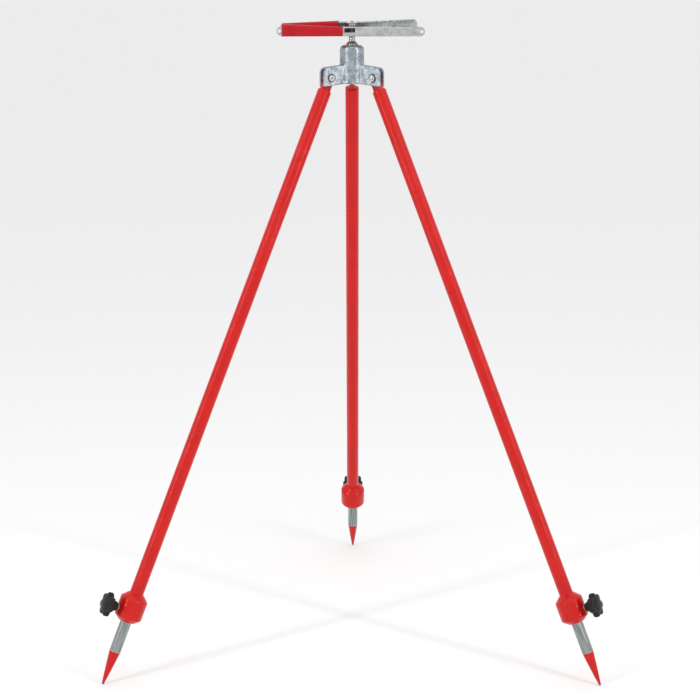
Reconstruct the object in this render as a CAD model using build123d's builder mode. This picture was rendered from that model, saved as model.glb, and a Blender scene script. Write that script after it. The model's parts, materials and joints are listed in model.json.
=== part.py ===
from build123d import *
import os
from math import cos, radians, sin, sqrt

# Ranging-pole tripod.  Millimetres.  +Z is up, +X points along the clamp's jaws, and the
# origin is on the ground under the axis of the head.  The front of the tripod faces -Y.

os.makedirs("parts", exist_ok=True)

# ---------------------------------------------------------------- stance of the legs
SPLAY = 23.8               # angle of each leg from the vertical, degrees
LEG_LENGTH = 1024.0        # hinge axis to spike tip
HINGE_RADIUS = 41.0        # hinge axes from the axis of the head
LEG_AZIMUTHS = {"left": 210.0, "right": 330.0, "rear": 90.0}
TIP_RADIUS = 1.8           # rounded end of each spike
HINGE_Z = (LEG_LENGTH - TIP_RADIUS) * cos(radians(SPLAY)) + TIP_RADIUS

FIT = 0.05                 # radial clearance of a running fit
GAP = 0.3                  # clearance between parts that pass each other

# ---------------------------------------------------------------- head casting
HUB_TOP = 51.0             # heights in the head are counted from the hinge axes
HUB_BOTTOM = -10.0
HUB_RADIUS_TOP = 19.0
HUB_RADIUS_BOTTOM = 20.0
HUB_CROWN_RADIUS = 7.0
EAR_WIDTH = 15.0           # over both plates of one hinge
EAR_REACH = 55.0           # outer edge from the head axis
EAR_TOP = 17.0
EAR_HEEL = -13.5           # lower outer corner
EAR_CORNER_RADIUS = 9.0
EAR_ROOT_RADIUS = 3.0
SLOT_WIDTH = 7.5
SLOT_FLOOR = 29.6          # inner end of the slot, where an opened leg comes to rest
RECESS_RADIUS = 6.0        # round recess for a bolt head or nut
RECESS_DEPTH = 1.5

# ---------------------------------------------------------------- ball joint in the head
BALL_RADIUS = 11.0
BALL_Z = 47.0
CUP_RADIUS = 11.2
CUP_BOTTOM = 32.0
CUP_TOP = 42.0
HEAD_BORE_RADIUS = 11.5
PLUG_TOP = 4.0
PLUG_SOCKET = 10.0         # across the flats of the plug's hexagon socket
CUP_SPRING_WIRE = 2.0
CUP_SPRING_RADIUS = 8.0    # to the middle of the wire
CUP_SPRING_TURNS = 5
STUD_RADIUS = 5.0
PIVOT_RADIUS = 4.0         # threaded part of the stud that carries the two arms
STUD_TIP_RADIUS = 3.0
STUD_TIP_CHAMFER = 0.6
PLUG_CHAMFER = 1.0

# ---------------------------------------------------------------- leg hinges
BOLT_RADIUS = 3.0
BOLT_HEAD_RADIUS = 5.2
BOLT_HEAD_HEIGHT = 3.0
BOLT_HEAD_ROUNDING = 1.0
BOLT_SOCKET = 4.0          # across the flats
BOLT_NUT_FLATS = 10.0
BOLT_NUT_HEIGHT = 4.0
TONGUE_THICKNESS = 7.2
TONGUE_WIDTH = 15.5
TONGUE_HEAD = 10.0         # above the hinge axis
TONGUE_CORNER_RADIUS = 6.5
TONGUE_CHAMFER = 1.0
TONGUE_BOLT_FIT = 0.08      # radial clearance of the bolt in the tongue
PLUG_END = 62.0            # end of the tongue's plug inside the tube
TONGUE_PIN_STATION = 32.0
TONGUE_PIN_RADIUS = 2.0

# ---------------------------------------------------------------- legs, counted down from the hinge
TUBE_RADIUS = 11.0
TUBE_BORE_RADIUS = 10.0
TUBE_START = 21.5
TUBE_END = 886.0
COLLAR_START = 871.0
COLLAR_SHOULDER = 880.0
COLLAR_WAIST = 910.0
COLLAR_END = 917.5
COLLAR_RADIUS = 22.0
COLLAR_LIP_RADIUS = 12.5
COLLAR_FOOT_RADIUS = 13.0
GUIDE_START = 856.0
ROD_RADIUS = 9.0
ROD_BORE_RADIUS = 7.0
ROD_START = 445.0
ROD_END = 967.0
STOP_BUSH_LENGTH = 15.0
SPIKE_SHANK_START = 942.0
SPIKE_RING_LENGTH = 1.6
SPIKE_PIN_STATION = 962.5
SPIKE_PIN_RADIUS = 1.5
SPIKE_BELLY = 0.63         # radius halfway down the cone, as a share of the rod's
SPIKE_TIP_LEAN = 0.13      # slope of the cone where it meets the rounded tip, radians

# ---------------------------------------------------------------- leg clamp knob
KNOB_STATION = 898.5
SCREW_RADIUS = 4.0
PAD_LENGTH = 4.0
PAD_RADIUS = 3.7
SCREW_NOSE_RADIUS = 2.0
SCREW_NOSE_LENGTH = 2.0
KNOB_NECK_START = 24.0     # from the axis of the leg
KNOB_NECK_RADIUS = 5.5
KNOB_HUB_RADIUS = 8.0
KNOB_HUB_START = 28.0
KNOB_DISC_START = 37.0
KNOB_DISC_END = 48.5
KNOB_LOBES = 7
KNOB_LOBE_CIRCLE = 14.2
KNOB_LOBE_RADIUS = 5.3
KNOB_CORE_RADIUS = 15.2
KNOB_EDGE_RADIUS = 2.0
KNOB_VALLEY_RADIUS = 1.5
KNOB_DOME_HEIGHT = 2.2
KNOB_DOME_RADIUS = 9.9
KNOB_DOME_SLOPE = 40.0

# ---------------------------------------------------------------- pole clamp
CLAMP_Z = HINGE_Z + 64.7   # underside of the clamp; its heights are counted from here
SHEET = 2.0                # thickness of the pressed arms
BEND_RADIUS = 2.0          # outside of the bend between web and flange
ARM_HALF_WIDTH = 18.0      # outer face of each arm's web from the stud
HANDLE_START = -14.0
HANDLE_ANGLE = 8.0         # each handle leans outwards
HANDLE_LENGTH = 98.0
HANDLE_DEPTH = 14.0
HANDLE_LAP = 1.5           # overlap where the handle is bent from the jaw
EYE_RADIUS = 12.0          # round the stud, on every flange
EYE_BRIDGE = ARM_HALF_WIDTH - BEND_RADIUS
JAW_GAP = 0.5              # half the gap between the closed jaws
POLE_RADIUS = 14.0
POLE_X = 50.0              # centre of the pole seat from the stud
FRONT_JAW_END = 104.0
FRONT_TAB_LENGTH = 11.0
FRONT_HEIGHT = 15.0
FRONT_HANDLE_BOTTOM = 1.5
FRONT_HANDLE_TOPS = (13.5, 17.5)     # at the pivot end and at the grip's end
WINDOW_START = -12.0       # cut-out in the front web beside the stud
WINDOW_END = 5.0
WINDOW_SILL = 6.0
REAR_JAW_END = 104.0
REAR_BOTTOM = 2.3
REAR_TOP = 22.4
REAR_JAW_TOP = 26.4
REAR_SLOPE_START = 13.0
REAR_HANDLE_BOTTOM = 3.9
REAR_HANDLE_TOPS = (22.4, 18.0)
REAR_CORNER_RADIUS = 8.0
TAB_HOLE_RADIUS = 2.6
TAB_LENGTH = 7.0           # handle end that stands out of the front sleeve
TOOTH_PITCH = 2.5          # grip teeth along the jaws' inner edges
TOOTH_DEPTH = 1.0
TOOTH_START = 68.0
SLEEVE_WALL = 1.5
SLEEVE_CORNER_RADIUS = 3.75
FRONT_SLEEVE_START = 0.0   # along the handle, from HANDLE_START
REAR_SLEEVE_START = 6.0
SLEEVE_END = 97.0
SPACER_RADIUS = 6.0
SPACER_BOTTOM = 4.5
SPACER_TOP = 12.8
CLAMP_SPRING_WIRE = 1.8
CLAMP_SPRING_RADIUS = 8.4
CLAMP_SPRING_TURNS = 3
CLAMP_SPRING_LEG = 34.0
CLAMP_SPRING_LEG_ANGLE = 74.3        # where each leg leaves the coil, either side of +X
PIVOT_NUT_FLATS = 15.0
PIVOT_NUT_BOTTOM = 15.2
PIVOT_NUT_HEIGHT = 5.0
STUD_TIP_END = 24.0


def hex_radius(flats):
    """Corner radius of a hexagon from its size across the flats."""
    return flats / sqrt(3)


def finish(part, name):
    """Label one piece and write its STEP file."""
    part.label = name
    export_step(part, f"parts/{name}.step")


# ================================================================ head casting
head_level = Plane.XY.offset(HINGE_Z)
head_profile = Plane(origin=(0, 0, HINGE_Z), x_dir=(1, 0, 0), z_dir=(0, -1, 0))


def radial_profile(azimuth):
    """Upright plane through the head axis, x outwards and y up, level with the hinges."""
    angle = radians(azimuth)
    outward = Vector(cos(angle), sin(angle), 0)
    return Plane(origin=(0, 0, HINGE_Z), x_dir=outward, z_dir=outward.cross(Vector(0, 0, 1)))


with BuildPart() as head_casting:
    with BuildSketch(head_profile):
        with BuildLine():
            Polyline(
                (0, HUB_BOTTOM),
                (HUB_RADIUS_BOTTOM, HUB_BOTTOM),
                (HUB_RADIUS_TOP, HUB_TOP),
                (0, HUB_TOP),
                close=True,
            )
        make_face()
    revolve(axis=Axis.Z)
    crown = head_casting.edges().filter_by(GeomType.CIRCLE).group_by(Axis.Z)[-1]
    fillet(crown, HUB_CROWN_RADIUS)
    for azimuth in LEG_AZIMUTHS.values():
        with BuildSketch(radial_profile(azimuth)):
            with BuildLine():
                Polyline(
                    (0, HUB_BOTTOM),
                    (HUB_RADIUS_BOTTOM, HUB_BOTTOM),
                    (EAR_REACH, EAR_HEEL),
                    (EAR_REACH, EAR_TOP - EAR_CORNER_RADIUS),
                )
                RadiusArc(
                    (EAR_REACH, EAR_TOP - EAR_CORNER_RADIUS),
                    (EAR_REACH - EAR_CORNER_RADIUS, EAR_TOP),
                    -EAR_CORNER_RADIUS,
                )
                Polyline(
                    (EAR_REACH - EAR_CORNER_RADIUS, EAR_TOP),
                    (HUB_RADIUS_TOP, EAR_TOP + EAR_ROOT_RADIUS),
                    (0, EAR_TOP + EAR_ROOT_RADIUS),
                    (0, HUB_BOTTOM),
                )
            make_face()
        extrude(amount=EAR_WIDTH / 2, both=True)
    for azimuth in LEG_AZIMUTHS.values():
        section = radial_profile(azimuth)
        with BuildSketch(section):
            with Locations(((SLOT_FLOOR + 2 * EAR_REACH) / 2, 0)):
                Rectangle(2 * EAR_REACH - SLOT_FLOOR, 4 * EAR_TOP)
        extrude(amount=SLOT_WIDTH / 2, both=True, mode=Mode.SUBTRACT)
        for side in (-1, 1):
            with BuildSketch(section.offset(side * EAR_WIDTH / 2)):
                with Locations((HINGE_RADIUS, 0)):
                    Circle(RECESS_RADIUS)
            extrude(amount=-side * RECESS_DEPTH, mode=Mode.SUBTRACT)
        with BuildSketch(section):
            with Locations((HINGE_RADIUS, 0)):
                Circle(BOLT_RADIUS + FIT)
        extrude(amount=EAR_WIDTH, both=True, mode=Mode.SUBTRACT)
    with BuildSketch(head_level.offset(HUB_BOTTOM)):
        Circle(HEAD_BORE_RADIUS)
    extrude(amount=BALL_Z - HUB_BOTTOM - GAP, mode=Mode.SUBTRACT)
    with BuildSketch(head_profile):
        with Locations((0, BALL_Z)):
            Circle(BALL_RADIUS + GAP)
        with Locations((-BALL_RADIUS, BALL_Z)):
            Rectangle(2 * BALL_RADIUS, 4 * BALL_RADIUS, mode=Mode.SUBTRACT)
    revolve(axis=Axis.Z, mode=Mode.SUBTRACT)
finish(head_casting.part, "head_casting")

# ================================================================ ball joint
clamp_level = Plane.XY.offset(CLAMP_Z)

with BuildPart() as ball_stud:
    stud_step = CLAMP_Z - HINGE_Z
    with BuildSketch(head_profile):
        with BuildLine():
            Line((0, BALL_Z - BALL_RADIUS), (0, stud_step + STUD_TIP_END))
            neck_height = sqrt(BALL_RADIUS**2 - STUD_RADIUS**2)
            Polyline(
                (0, stud_step + STUD_TIP_END),
                (STUD_TIP_RADIUS - STUD_TIP_CHAMFER, stud_step + STUD_TIP_END),
                (STUD_TIP_RADIUS, stud_step + STUD_TIP_END - STUD_TIP_CHAMFER),
                (STUD_TIP_RADIUS, stud_step + PIVOT_NUT_BOTTOM + PIVOT_NUT_HEIGHT),
                (PIVOT_RADIUS, stud_step + PIVOT_NUT_BOTTOM + PIVOT_NUT_HEIGHT),
                (PIVOT_RADIUS, stud_step - 2 * FIT),
                (STUD_RADIUS, stud_step - 2 * FIT),
                (STUD_RADIUS, BALL_Z + neck_height),
            )
            ThreePointArc(
                (STUD_RADIUS, BALL_Z + neck_height),
                (BALL_RADIUS, BALL_Z),
                (0, BALL_Z - BALL_RADIUS),
            )
        make_face()
    revolve(axis=Axis.Z)
finish(ball_stud.part, "ball_stud")

with BuildPart() as ball_cup:
    with BuildSketch(head_level.offset(CUP_BOTTOM)):
        Circle(CUP_RADIUS)
    extrude(amount=CUP_TOP - CUP_BOTTOM)
    with BuildSketch(head_profile):
        with Locations((0, BALL_Z)):
            Circle(BALL_RADIUS + GAP)
        with Locations((-BALL_RADIUS, BALL_Z)):
            Rectangle(2 * BALL_RADIUS, 4 * BALL_RADIUS, mode=Mode.SUBTRACT)
    revolve(axis=Axis.Z, mode=Mode.SUBTRACT)
finish(ball_cup.part, "ball_cup")


def coil_path(base, radius, turns, height, start_angle=0.0):
    """Centre line of a coil round the head's axis, climbing from base."""
    path = Helix(pitch=height / turns, height=height, radius=radius, center=(0, 0, base))
    return path.rotate(Axis.Z, start_angle)


cup_spring_path = coil_path(
    base=HINGE_Z + PLUG_TOP + CUP_SPRING_WIRE,
    radius=CUP_SPRING_RADIUS,
    turns=CUP_SPRING_TURNS,
    height=CUP_BOTTOM - PLUG_TOP - 2 * CUP_SPRING_WIRE,
)
with BuildPart() as cup_spring:
    with BuildSketch(Plane(origin=cup_spring_path @ 0, z_dir=cup_spring_path % 0)):
        Circle(CUP_SPRING_WIRE / 2)
    sweep(path=cup_spring_path, is_frenet=True)
finish(cup_spring.part, "cup_spring")

with BuildPart() as retaining_plug:
    with BuildSketch(head_level.offset(HUB_BOTTOM)):
        Circle(HEAD_BORE_RADIUS - FIT)
    extrude(amount=PLUG_TOP - HUB_BOTTOM)
    with BuildSketch(head_level.offset(HUB_BOTTOM)):
        RegularPolygon(hex_radius(PLUG_SOCKET), 6)
    extrude(amount=(PLUG_TOP - HUB_BOTTOM) / 2, mode=Mode.SUBTRACT)
    rim = retaining_plug.edges().filter_by(GeomType.CIRCLE)
    chamfer(rim, PLUG_CHAMFER)
finish(retaining_plug.part, "retaining_plug")


# ================================================================ legs
def leg_directions(azimuth):
    """Hinge point, up along the leg, and the outward direction square to it."""
    angle = radians(azimuth)
    outward = Vector(cos(angle), sin(angle), 0)
    upright = Vector(0, 0, 1)
    pivot = outward * HINGE_RADIUS + upright * HINGE_Z
    up = upright * cos(radians(SPLAY)) - outward * sin(radians(SPLAY))
    face = outward * cos(radians(SPLAY)) + upright * sin(radians(SPLAY))
    return pivot, up, face


def leg_station(azimuth, station):
    """Plane square to the leg, with x facing outwards, a distance down from the hinge."""
    pivot, up, face = leg_directions(azimuth)
    return Plane(origin=pivot - up * station, x_dir=face, z_dir=up)


def leg_section(azimuth):
    """Plane through the leg's axis: x outwards, y up the leg from the hinge."""
    pivot, up, face = leg_directions(azimuth)
    return Plane(origin=pivot, x_dir=face, z_dir=face.cross(up))


def leg_axis(azimuth):
    pivot, up, face = leg_directions(azimuth)
    return Axis(pivot, up)


def knob_plane(azimuth, distance):
    """Plane square to the clamp screw, a distance out from the leg's axis."""
    pivot, up, face = leg_directions(azimuth)
    return Plane(origin=pivot - up * KNOB_STATION + face * distance, x_dir=up, z_dir=face)


def make_hinge_bolt(azimuth, side):
    section = leg_section(azimuth)
    seat = EAR_WIDTH / 2 - RECESS_DEPTH
    with BuildPart() as hinge_bolt:
        with BuildSketch(section.offset(-seat)):
            Circle(BOLT_HEAD_RADIUS)
        extrude(amount=-BOLT_HEAD_HEIGHT)
        rim = hinge_bolt.faces().sort_by(Axis(section.origin, section.z_dir))[0].edges()
        fillet(rim, BOLT_HEAD_ROUNDING)
        with BuildSketch(section.offset(-seat - BOLT_HEAD_HEIGHT)):
            RegularPolygon(hex_radius(BOLT_SOCKET), 6)
        extrude(amount=BOLT_HEAD_HEIGHT / 2, mode=Mode.SUBTRACT)
        with BuildSketch(section.offset(-seat)):
            Circle(BOLT_RADIUS)
        extrude(amount=2 * seat + BOLT_NUT_HEIGHT + RECESS_DEPTH / 3)
    finish(hinge_bolt.part, f"hinge_bolt_{side}")


def make_hinge_nut(azimuth, side):
    seat = EAR_WIDTH / 2 - RECESS_DEPTH
    with BuildPart() as hinge_nut:
        with BuildSketch(leg_section(azimuth).offset(seat)):
            RegularPolygon(hex_radius(BOLT_NUT_FLATS), 6)
            Circle(BOLT_RADIUS + FIT, mode=Mode.SUBTRACT)
        extrude(amount=BOLT_NUT_HEIGHT)
    finish(hinge_nut.part, f"hinge_nut_{side}")


def make_hinge_tongue(azimuth, side):
    section = leg_section(azimuth)
    half = TONGUE_WIDTH / 2
    with BuildPart() as hinge_tongue:
        with BuildSketch(section):
            with BuildLine():
                Polyline(
                    (-half, TONGUE_HEAD - TONGUE_CHAMFER),
                    (-half, -TUBE_START - TONGUE_CHAMFER),
                    (half, -TUBE_START - TONGUE_CHAMFER),
                    (half, TONGUE_HEAD - TONGUE_CORNER_RADIUS),
                )
                RadiusArc(
                    (half, TONGUE_HEAD - TONGUE_CORNER_RADIUS),
                    (half - TONGUE_CORNER_RADIUS, TONGUE_HEAD),
                    -TONGUE_CORNER_RADIUS,
                )
                Polyline(
                    (half - TONGUE_CORNER_RADIUS, TONGUE_HEAD),
                    (-half + TONGUE_CHAMFER, TONGUE_HEAD),
                    (-half, TONGUE_HEAD - TONGUE_CHAMFER),
                )
            make_face()
        extrude(amount=TONGUE_THICKNESS / 2, both=True)
        with BuildSketch(leg_station(azimuth, PLUG_END)):
            Circle(TUBE_BORE_RADIUS - FIT)
        extrude(amount=PLUG_END - TUBE_START)
        with BuildSketch(section):
            Circle(BOLT_RADIUS + TONGUE_BOLT_FIT)
            with Locations((0, -TONGUE_PIN_STATION)):
                Circle(TONGUE_PIN_RADIUS + FIT / 2)
        extrude(amount=TUBE_RADIUS, both=True, mode=Mode.SUBTRACT)
    finish(hinge_tongue.part, f"hinge_tongue_{side}")


def make_tongue_pin(azimuth, side):
    with BuildPart() as tongue_pin:
        with BuildSketch(leg_section(azimuth)):
            with Locations((0, -TONGUE_PIN_STATION)):
                Circle(TONGUE_PIN_RADIUS)
        extrude(amount=TUBE_RADIUS, both=True)
    finish(tongue_pin.part, f"tongue_pin_{side}")


def make_leg_tube(azimuth, side):
    with BuildPart() as leg_tube:
        with BuildSketch(leg_station(azimuth, TUBE_END)):
            Circle(TUBE_RADIUS)
            Circle(TUBE_BORE_RADIUS, mode=Mode.SUBTRACT)
        extrude(amount=TUBE_END - TUBE_START)
        with BuildSketch(leg_section(azimuth)):
            with Locations((0, -TONGUE_PIN_STATION)):
                Circle(TONGUE_PIN_RADIUS + FIT / 2)
        extrude(amount=2 * TUBE_RADIUS, both=True, mode=Mode.SUBTRACT)
    finish(leg_tube.part, f"leg_tube_{side}")


def make_collar(azimuth, side):
    inside = TUBE_RADIUS + FIT
    with BuildPart() as collar:
        with BuildSketch(leg_section(azimuth)):
            with BuildLine():
                Polyline(
                    (inside, -COLLAR_START),
                    (COLLAR_LIP_RADIUS, -COLLAR_START),
                    (COLLAR_RADIUS, -COLLAR_SHOULDER),
                    (COLLAR_RADIUS, -COLLAR_WAIST),
                    (COLLAR_FOOT_RADIUS, -COLLAR_END),
                    (ROD_RADIUS + GAP, -COLLAR_END),
                    (ROD_RADIUS + GAP, -TUBE_END - FIT),
                    (inside, -TUBE_END - FIT),
                    close=True,
                )
            make_face()
        revolve(axis=leg_axis(azimuth))
        with BuildSketch(knob_plane(azimuth, 0)):
            Circle(SCREW_RADIUS + FIT)
        extrude(amount=2 * COLLAR_RADIUS, mode=Mode.SUBTRACT)
    finish(collar.part, f"collar_{side}")


def make_guide_sleeve(azimuth, side):
    with BuildPart() as guide_sleeve:
        with BuildSketch(leg_station(azimuth, TUBE_END)):
            Circle(TUBE_BORE_RADIUS - FIT)
            Circle(ROD_RADIUS + 2 * FIT, mode=Mode.SUBTRACT)
        extrude(amount=TUBE_END - GUIDE_START)
    finish(guide_sleeve.part, f"guide_sleeve_{side}")


def make_inner_rod(azimuth, side):
    with BuildPart() as inner_rod:
        with BuildSketch(leg_station(azimuth, ROD_END)):
            Circle(ROD_RADIUS)
            Circle(ROD_BORE_RADIUS, mode=Mode.SUBTRACT)
        extrude(amount=ROD_END - ROD_START)
        with BuildSketch(leg_section(azimuth)):
            with Locations((0, -SPIKE_PIN_STATION)):
                Circle(SPIKE_PIN_RADIUS + FIT / 2)
        extrude(amount=2 * ROD_RADIUS, both=True, mode=Mode.SUBTRACT)
    finish(inner_rod.part, f"inner_rod_{side}")


def make_stop_bush(azimuth, side):
    with BuildPart() as stop_bush:
        with BuildSketch(leg_station(azimuth, ROD_START + STOP_BUSH_LENGTH)):
            Circle(TUBE_BORE_RADIUS - 2 * FIT)
            Circle(ROD_RADIUS + FIT / 2, mode=Mode.SUBTRACT)
        extrude(amount=STOP_BUSH_LENGTH)
    finish(stop_bush.part, f"stop_bush_{side}")


def make_spike(azimuth, side):
    """Forged spike: a shank for the rod, a thin ring, and a slim cone with a rounded tip."""
    cone_start = ROD_END + SPIKE_RING_LENGTH
    belly = (cone_start + LEG_LENGTH) / 2
    tip_centre = LEG_LENGTH - TIP_RADIUS
    tip_join = (
        TIP_RADIUS * cos(SPIKE_TIP_LEAN),
        -tip_centre - TIP_RADIUS * sin(SPIKE_TIP_LEAN),
    )
    with BuildPart() as spike:
        with BuildSketch(leg_section(azimuth)):
            with BuildLine():
                Polyline(
                    (0, -LEG_LENGTH),
                    (0, -SPIKE_SHANK_START),
                    (ROD_BORE_RADIUS - FIT, -SPIKE_SHANK_START),
                    (ROD_BORE_RADIUS - FIT, -ROD_END),
                    (ROD_RADIUS, -ROD_END),
                    (ROD_RADIUS, -cone_start),
                )
                ThreePointArc(
                    (ROD_RADIUS, -cone_start),
                    (SPIKE_BELLY * ROD_RADIUS, -belly),
                    tip_join,
                )
                RadiusArc(tip_join, (0, -LEG_LENGTH), TIP_RADIUS)
            make_face()
        revolve(axis=leg_axis(azimuth))
        with BuildSketch(leg_section(azimuth)):
            with Locations((0, -SPIKE_PIN_STATION)):
                Circle(SPIKE_PIN_RADIUS + FIT / 2)
        extrude(amount=2 * ROD_RADIUS, both=True, mode=Mode.SUBTRACT)
    finish(spike.part, f"spike_{side}")


def make_spike_pin(azimuth, side):
    with BuildPart() as spike_pin:
        with BuildSketch(leg_section(azimuth)):
            with Locations((0, -SPIKE_PIN_STATION)):
                Circle(SPIKE_PIN_RADIUS)
        extrude(amount=ROD_RADIUS - 2 * FIT, both=True)
    finish(spike_pin.part, f"spike_pin_{side}")


# The pad lies flat against the rod; the screw's nose turns in the pad's socket.
PAD_START = ROD_RADIUS + FIT
PAD_END = PAD_START + PAD_LENGTH


def make_pressure_pad(azimuth, side):
    with BuildPart() as pressure_pad:
        with BuildSketch(knob_plane(azimuth, PAD_START)):
            Circle(PAD_RADIUS)
        extrude(amount=PAD_LENGTH)
        with BuildSketch(knob_plane(azimuth, PAD_END)):
            Circle(SCREW_NOSE_RADIUS + FIT)
        extrude(amount=-SCREW_NOSE_LENGTH - FIT, mode=Mode.SUBTRACT)
    finish(pressure_pad.part, f"pressure_pad_{side}")


def make_clamp_screw(azimuth, side):
    thread_start = PAD_END + 2 * FIT
    with BuildPart() as clamp_screw:
        with BuildSketch(knob_plane(azimuth, thread_start)):
            Circle(SCREW_RADIUS)
        extrude(amount=KNOB_DISC_END - thread_start - KNOB_DOME_HEIGHT)
        with BuildSketch(knob_plane(azimuth, thread_start - SCREW_NOSE_LENGTH)):
            Circle(SCREW_NOSE_RADIUS)
        extrude(amount=SCREW_NOSE_LENGTH)
    finish(clamp_screw.part, f"clamp_screw_{side}")


def make_star_knob(azimuth, side):
    disc_base = knob_plane(azimuth, KNOB_DISC_START)
    with BuildPart() as star_knob:
        with BuildSketch(disc_base) as star:
            Circle(KNOB_CORE_RADIUS)
            with PolarLocations(KNOB_LOBE_CIRCLE, KNOB_LOBES):
                Circle(KNOB_LOBE_RADIUS)
            fillet(star.vertices(), KNOB_VALLEY_RADIUS)
        extrude(amount=KNOB_DISC_END - KNOB_DISC_START - KNOB_DOME_HEIGHT)
        along = Axis(disc_base.origin, disc_base.z_dir)
        rims = star_knob.faces().sort_by(along)
        fillet(rims[0].edges() + rims[-1].edges(), KNOB_EDGE_RADIUS)
        with BuildSketch(knob_plane(azimuth, KNOB_DISC_END - KNOB_DOME_HEIGHT)):
            Circle(KNOB_DOME_RADIUS)
        extrude(amount=KNOB_DOME_HEIGHT, taper=KNOB_DOME_SLOPE)
        with BuildSketch(knob_plane(azimuth, KNOB_NECK_START)):
            Circle(KNOB_NECK_RADIUS)
        with BuildSketch(knob_plane(azimuth, KNOB_HUB_START)):
            Circle(KNOB_HUB_RADIUS)
        loft()
        with BuildSketch(knob_plane(azimuth, KNOB_HUB_START)):
            Circle(KNOB_HUB_RADIUS)
        extrude(amount=KNOB_DISC_START - KNOB_HUB_START)
        with BuildSketch(knob_plane(azimuth, KNOB_NECK_START)):
            Circle(SCREW_RADIUS)
        extrude(amount=KNOB_DISC_END - KNOB_DOME_HEIGHT - KNOB_NECK_START, mode=Mode.SUBTRACT)
    finish(star_knob.part, f"star_knob_{side}")


leg_makers = [
    make_hinge_bolt,
    make_hinge_nut,
    make_hinge_tongue,
    make_tongue_pin,
    make_leg_tube,
    make_collar,
    make_guide_sleeve,
    make_inner_rod,
    make_stop_bush,
    make_spike,
    make_spike_pin,
    make_pressure_pad,
    make_clamp_screw,
    make_star_knob,
]
for side_name, side_azimuth in LEG_AZIMUTHS.items():
    for make_piece in leg_makers:
        make_piece(side_azimuth, side_name)


# ================================================================ pole clamp
def clamp_plane(height):
    return Plane.XY.offset(CLAMP_Z + height)


def arm_side(front):
    """-1 for the front arm, +1 for the rear arm: the side of the stud its web stands on."""
    return -1 if front else 1


def jaw_frame(front):
    """Upright plane on the outer face of an arm's jaw web, x along the jaw, y up."""
    side = arm_side(front)
    web_face = (0, side * ARM_HALF_WIDTH, CLAMP_Z)
    return Plane(origin=web_face, x_dir=(1, 0, 0), z_dir=(0, -1, 0))


def handle_frame(front):
    """Upright plane on the outer face of a handle's web, x from the pivot end outwards, y up."""
    side = arm_side(front)
    lean = radians(HANDLE_ANGLE)
    along = Vector(-cos(lean), side * sin(lean), 0)
    start = (HANDLE_START, side * ARM_HALF_WIDTH, CLAMP_Z)
    return Plane(origin=start, x_dir=along, z_dir=along.cross(Vector(0, 0, 1)))


def inward(frame, front):
    """+1 or -1: the sense of a frame's normal that points from the web to the open side."""
    return 1 if frame.z_dir.Y * arm_side(front) < 0 else -1


def channel(frame, front, outline, depth, rounded):
    """Pressed channel: web on the frame, two flanges, open ends and an open inner side.

    outline holds (distance, bottom, top) stations along the channel. A rounded channel
    has the bend radius along its two outer edges."""
    sense = inward(frame, front)
    overrun = SHEET * 2
    lower = [(x, bottom) for x, bottom, top in outline]
    upper = [(x, top) for x, bottom, top in reversed(outline)]
    inner_lower = [(x, bottom + SHEET) for x, bottom, top in outline]
    inner_upper = [(x, top - SHEET) for x, bottom, top in reversed(outline)]
    with BuildPart() as pressing:
        with BuildSketch(frame):
            with BuildLine():
                Polyline(*lower, *upper, close=True)
            make_face()
        extrude(amount=sense * depth)
        if rounded:
            bends = pressing.edges().filter_by(
                lambda edge: abs(frame.to_local_coords(edge @ 0.5).Z) < FIT
                and abs((edge % 0.5).dot(frame.x_dir)) > cos(radians(HANDLE_ANGLE))
            )
            fillet(bends, BEND_RADIUS)
        with BuildSketch(frame.offset(sense * SHEET)):
            with BuildLine():
                Polyline(
                    (inner_lower[0][0] - overrun, inner_lower[0][1]),
                    *inner_lower,
                    (inner_lower[-1][0] + overrun, inner_lower[-1][1]),
                    (inner_upper[0][0] + overrun, inner_upper[0][1]),
                    *inner_upper,
                    (inner_upper[-1][0] - overrun, inner_upper[-1][1]),
                    close=True,
                )
            make_face()
        extrude(amount=sense * depth, mode=Mode.SUBTRACT)
    return pressing.part


def handle_channel(front, bottom, tops):
    """The straight channel of one handle."""
    slope = (tops[1] - tops[0]) / HANDLE_LENGTH
    stations = [
        (-HANDLE_LAP, bottom, tops[0] - slope * HANDLE_LAP),
        (HANDLE_LENGTH, bottom, tops[1]),
    ]
    return channel(handle_frame(front), front, stations, HANDLE_DEPTH, rounded=False)


def jaw_channel(front, stations):
    """The straight channel of one jaw."""
    return channel(jaw_frame(front), front, stations, ARM_HALF_WIDTH - JAW_GAP, rounded=True)


def jaw_cutter(front, top):
    """What is cut through both flanges of a jaw: the pole seat and the grip teeth."""
    edge = arm_side(front) * JAW_GAP
    teeth = int((FRONT_JAW_END - TOOTH_START) / TOOTH_PITCH)
    with BuildPart() as cutter:
        with BuildSketch(clamp_plane(-SHEET)):
            with Locations((POLE_X, 0)):
                Circle(POLE_RADIUS)
            with GridLocations(TOOTH_PITCH, 0, teeth, 1):
                with Locations(((TOOTH_START + FRONT_JAW_END) / 2, edge)):
                    Rectangle(TOOTH_DEPTH * sqrt(2), TOOTH_DEPTH * sqrt(2), rotation=45)
        extrude(amount=top + 2 * SHEET)
    return cutter.part


front_handle = handle_channel(True, FRONT_HANDLE_BOTTOM, FRONT_HANDLE_TOPS)
front_jaw = jaw_channel(
    True, [(HANDLE_START, 0, FRONT_HEIGHT), (FRONT_JAW_END, 0, FRONT_HEIGHT)]
)

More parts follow.
